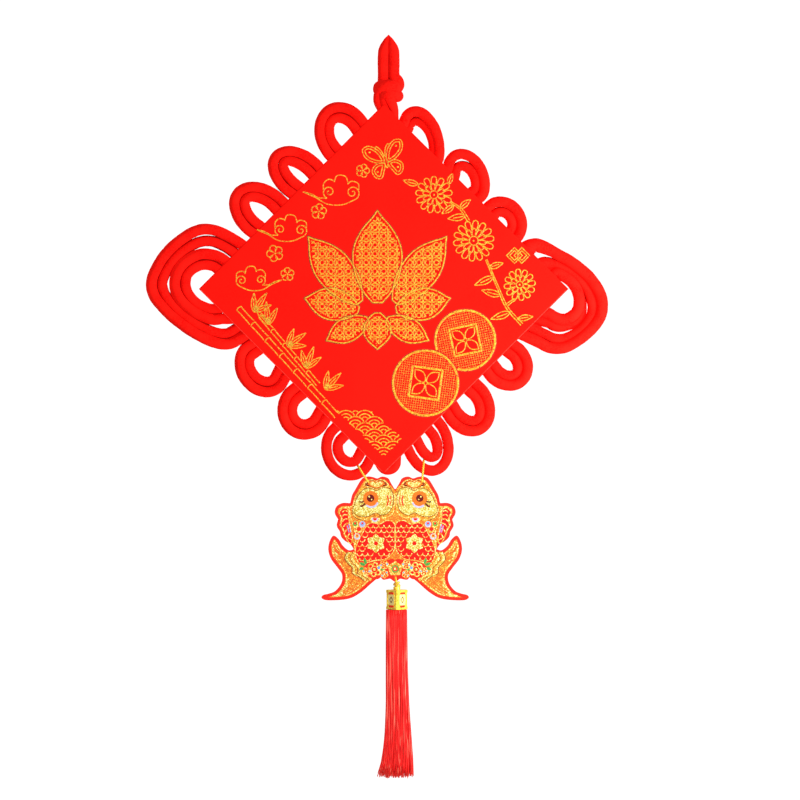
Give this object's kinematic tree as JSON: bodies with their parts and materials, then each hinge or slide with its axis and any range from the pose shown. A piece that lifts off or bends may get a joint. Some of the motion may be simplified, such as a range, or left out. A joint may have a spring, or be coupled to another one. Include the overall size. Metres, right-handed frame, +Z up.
{
  "type": "knotted wall hanging with a square board, a pair of fish and a tassel",
  "caption": "Hanging ornament tied in doubled red plush cord round a square velvet board, with a pair of fish and a yarn tassel below.",
  "frame": {"origin": "Inside top of the hanging loop, where a nail or hook carries the ornament.", "axes": "+Z up along the hanging direction, the decorated front faces -Y, +X to the right seen from the front."},
  "size_m": [0.4438, 0.0307, 0.7156],
  "materials": {
    "plush_cord": "short red plush pile over a round cord, matte",
    "velvet_board": "red flocked velvet over board, with gold glitter lines",
    "gold_thread": "twisted metallic gold thread",
    "glitter_card": "printed board with gold glitter and a red border",
    "gilt_cap": "moulded plastic with a bright gold coat",
    "yarn": "loose red rayon yarn with a soft sheen"
  },
  "bodies": {
    "root": {"board": "velvet_board", "knot_body": "plush_cord", "ear_A_outer": "plush_cord", "ear_A_inner": "plush_cord", "ear_B_outer": "plush_cord", "ear_B_inner": "plush_cord", "ear_C_outer": "plush_cord", "ear_C_inner": "plush_cord", "ear_D_outer": "plush_cord", "ear_D_inner": "plush_cord", "ear_E_outer": "plush_cord", "ear_E_inner": "plush_cord", "ear_F_outer": "plush_cord", "ear_F_inner": "plush_cord", "ear_G_outer": "plush_cord", "ear_G_inner": "plush_cord", "ear_H_outer": "plush_cord", "ear_H_inner": "plush_cord", "ear_I_outer": "plush_cord", "ear_I_inner": "plush_cord", "ear_J_outer": "plush_cord", "ear_J_inner": "plush_cord", "ear_K_outer": "plush_cord", "ear_K_inner": "plush_cord", "ear_L_outer": "plush_cord", "ear_L_inner": "plush_cord", "wing_left_1": "plush_cord", "wing_left_2": "plush_cord", "wing_left_3": "plush_cord", "wing_left_4": "plush_cord", "wing_right_1": "plush_cord", "wing_right_2": "plush_cord", "wing_right_3": "plush_cord", "wing_right_4": "plush_cord", "hang_loop": "plush_cord", "top_knot": "plush_cord", "bottom_bend": "plush_cord", "string_left": "gold_thread", "string_right": "gold_thread", "fish_pair": "glitter_card", "tassel_string": "gold_thread", "tassel_cap": "gilt_cap", "tassel": "yarn"}
  },
  "joints": []
}
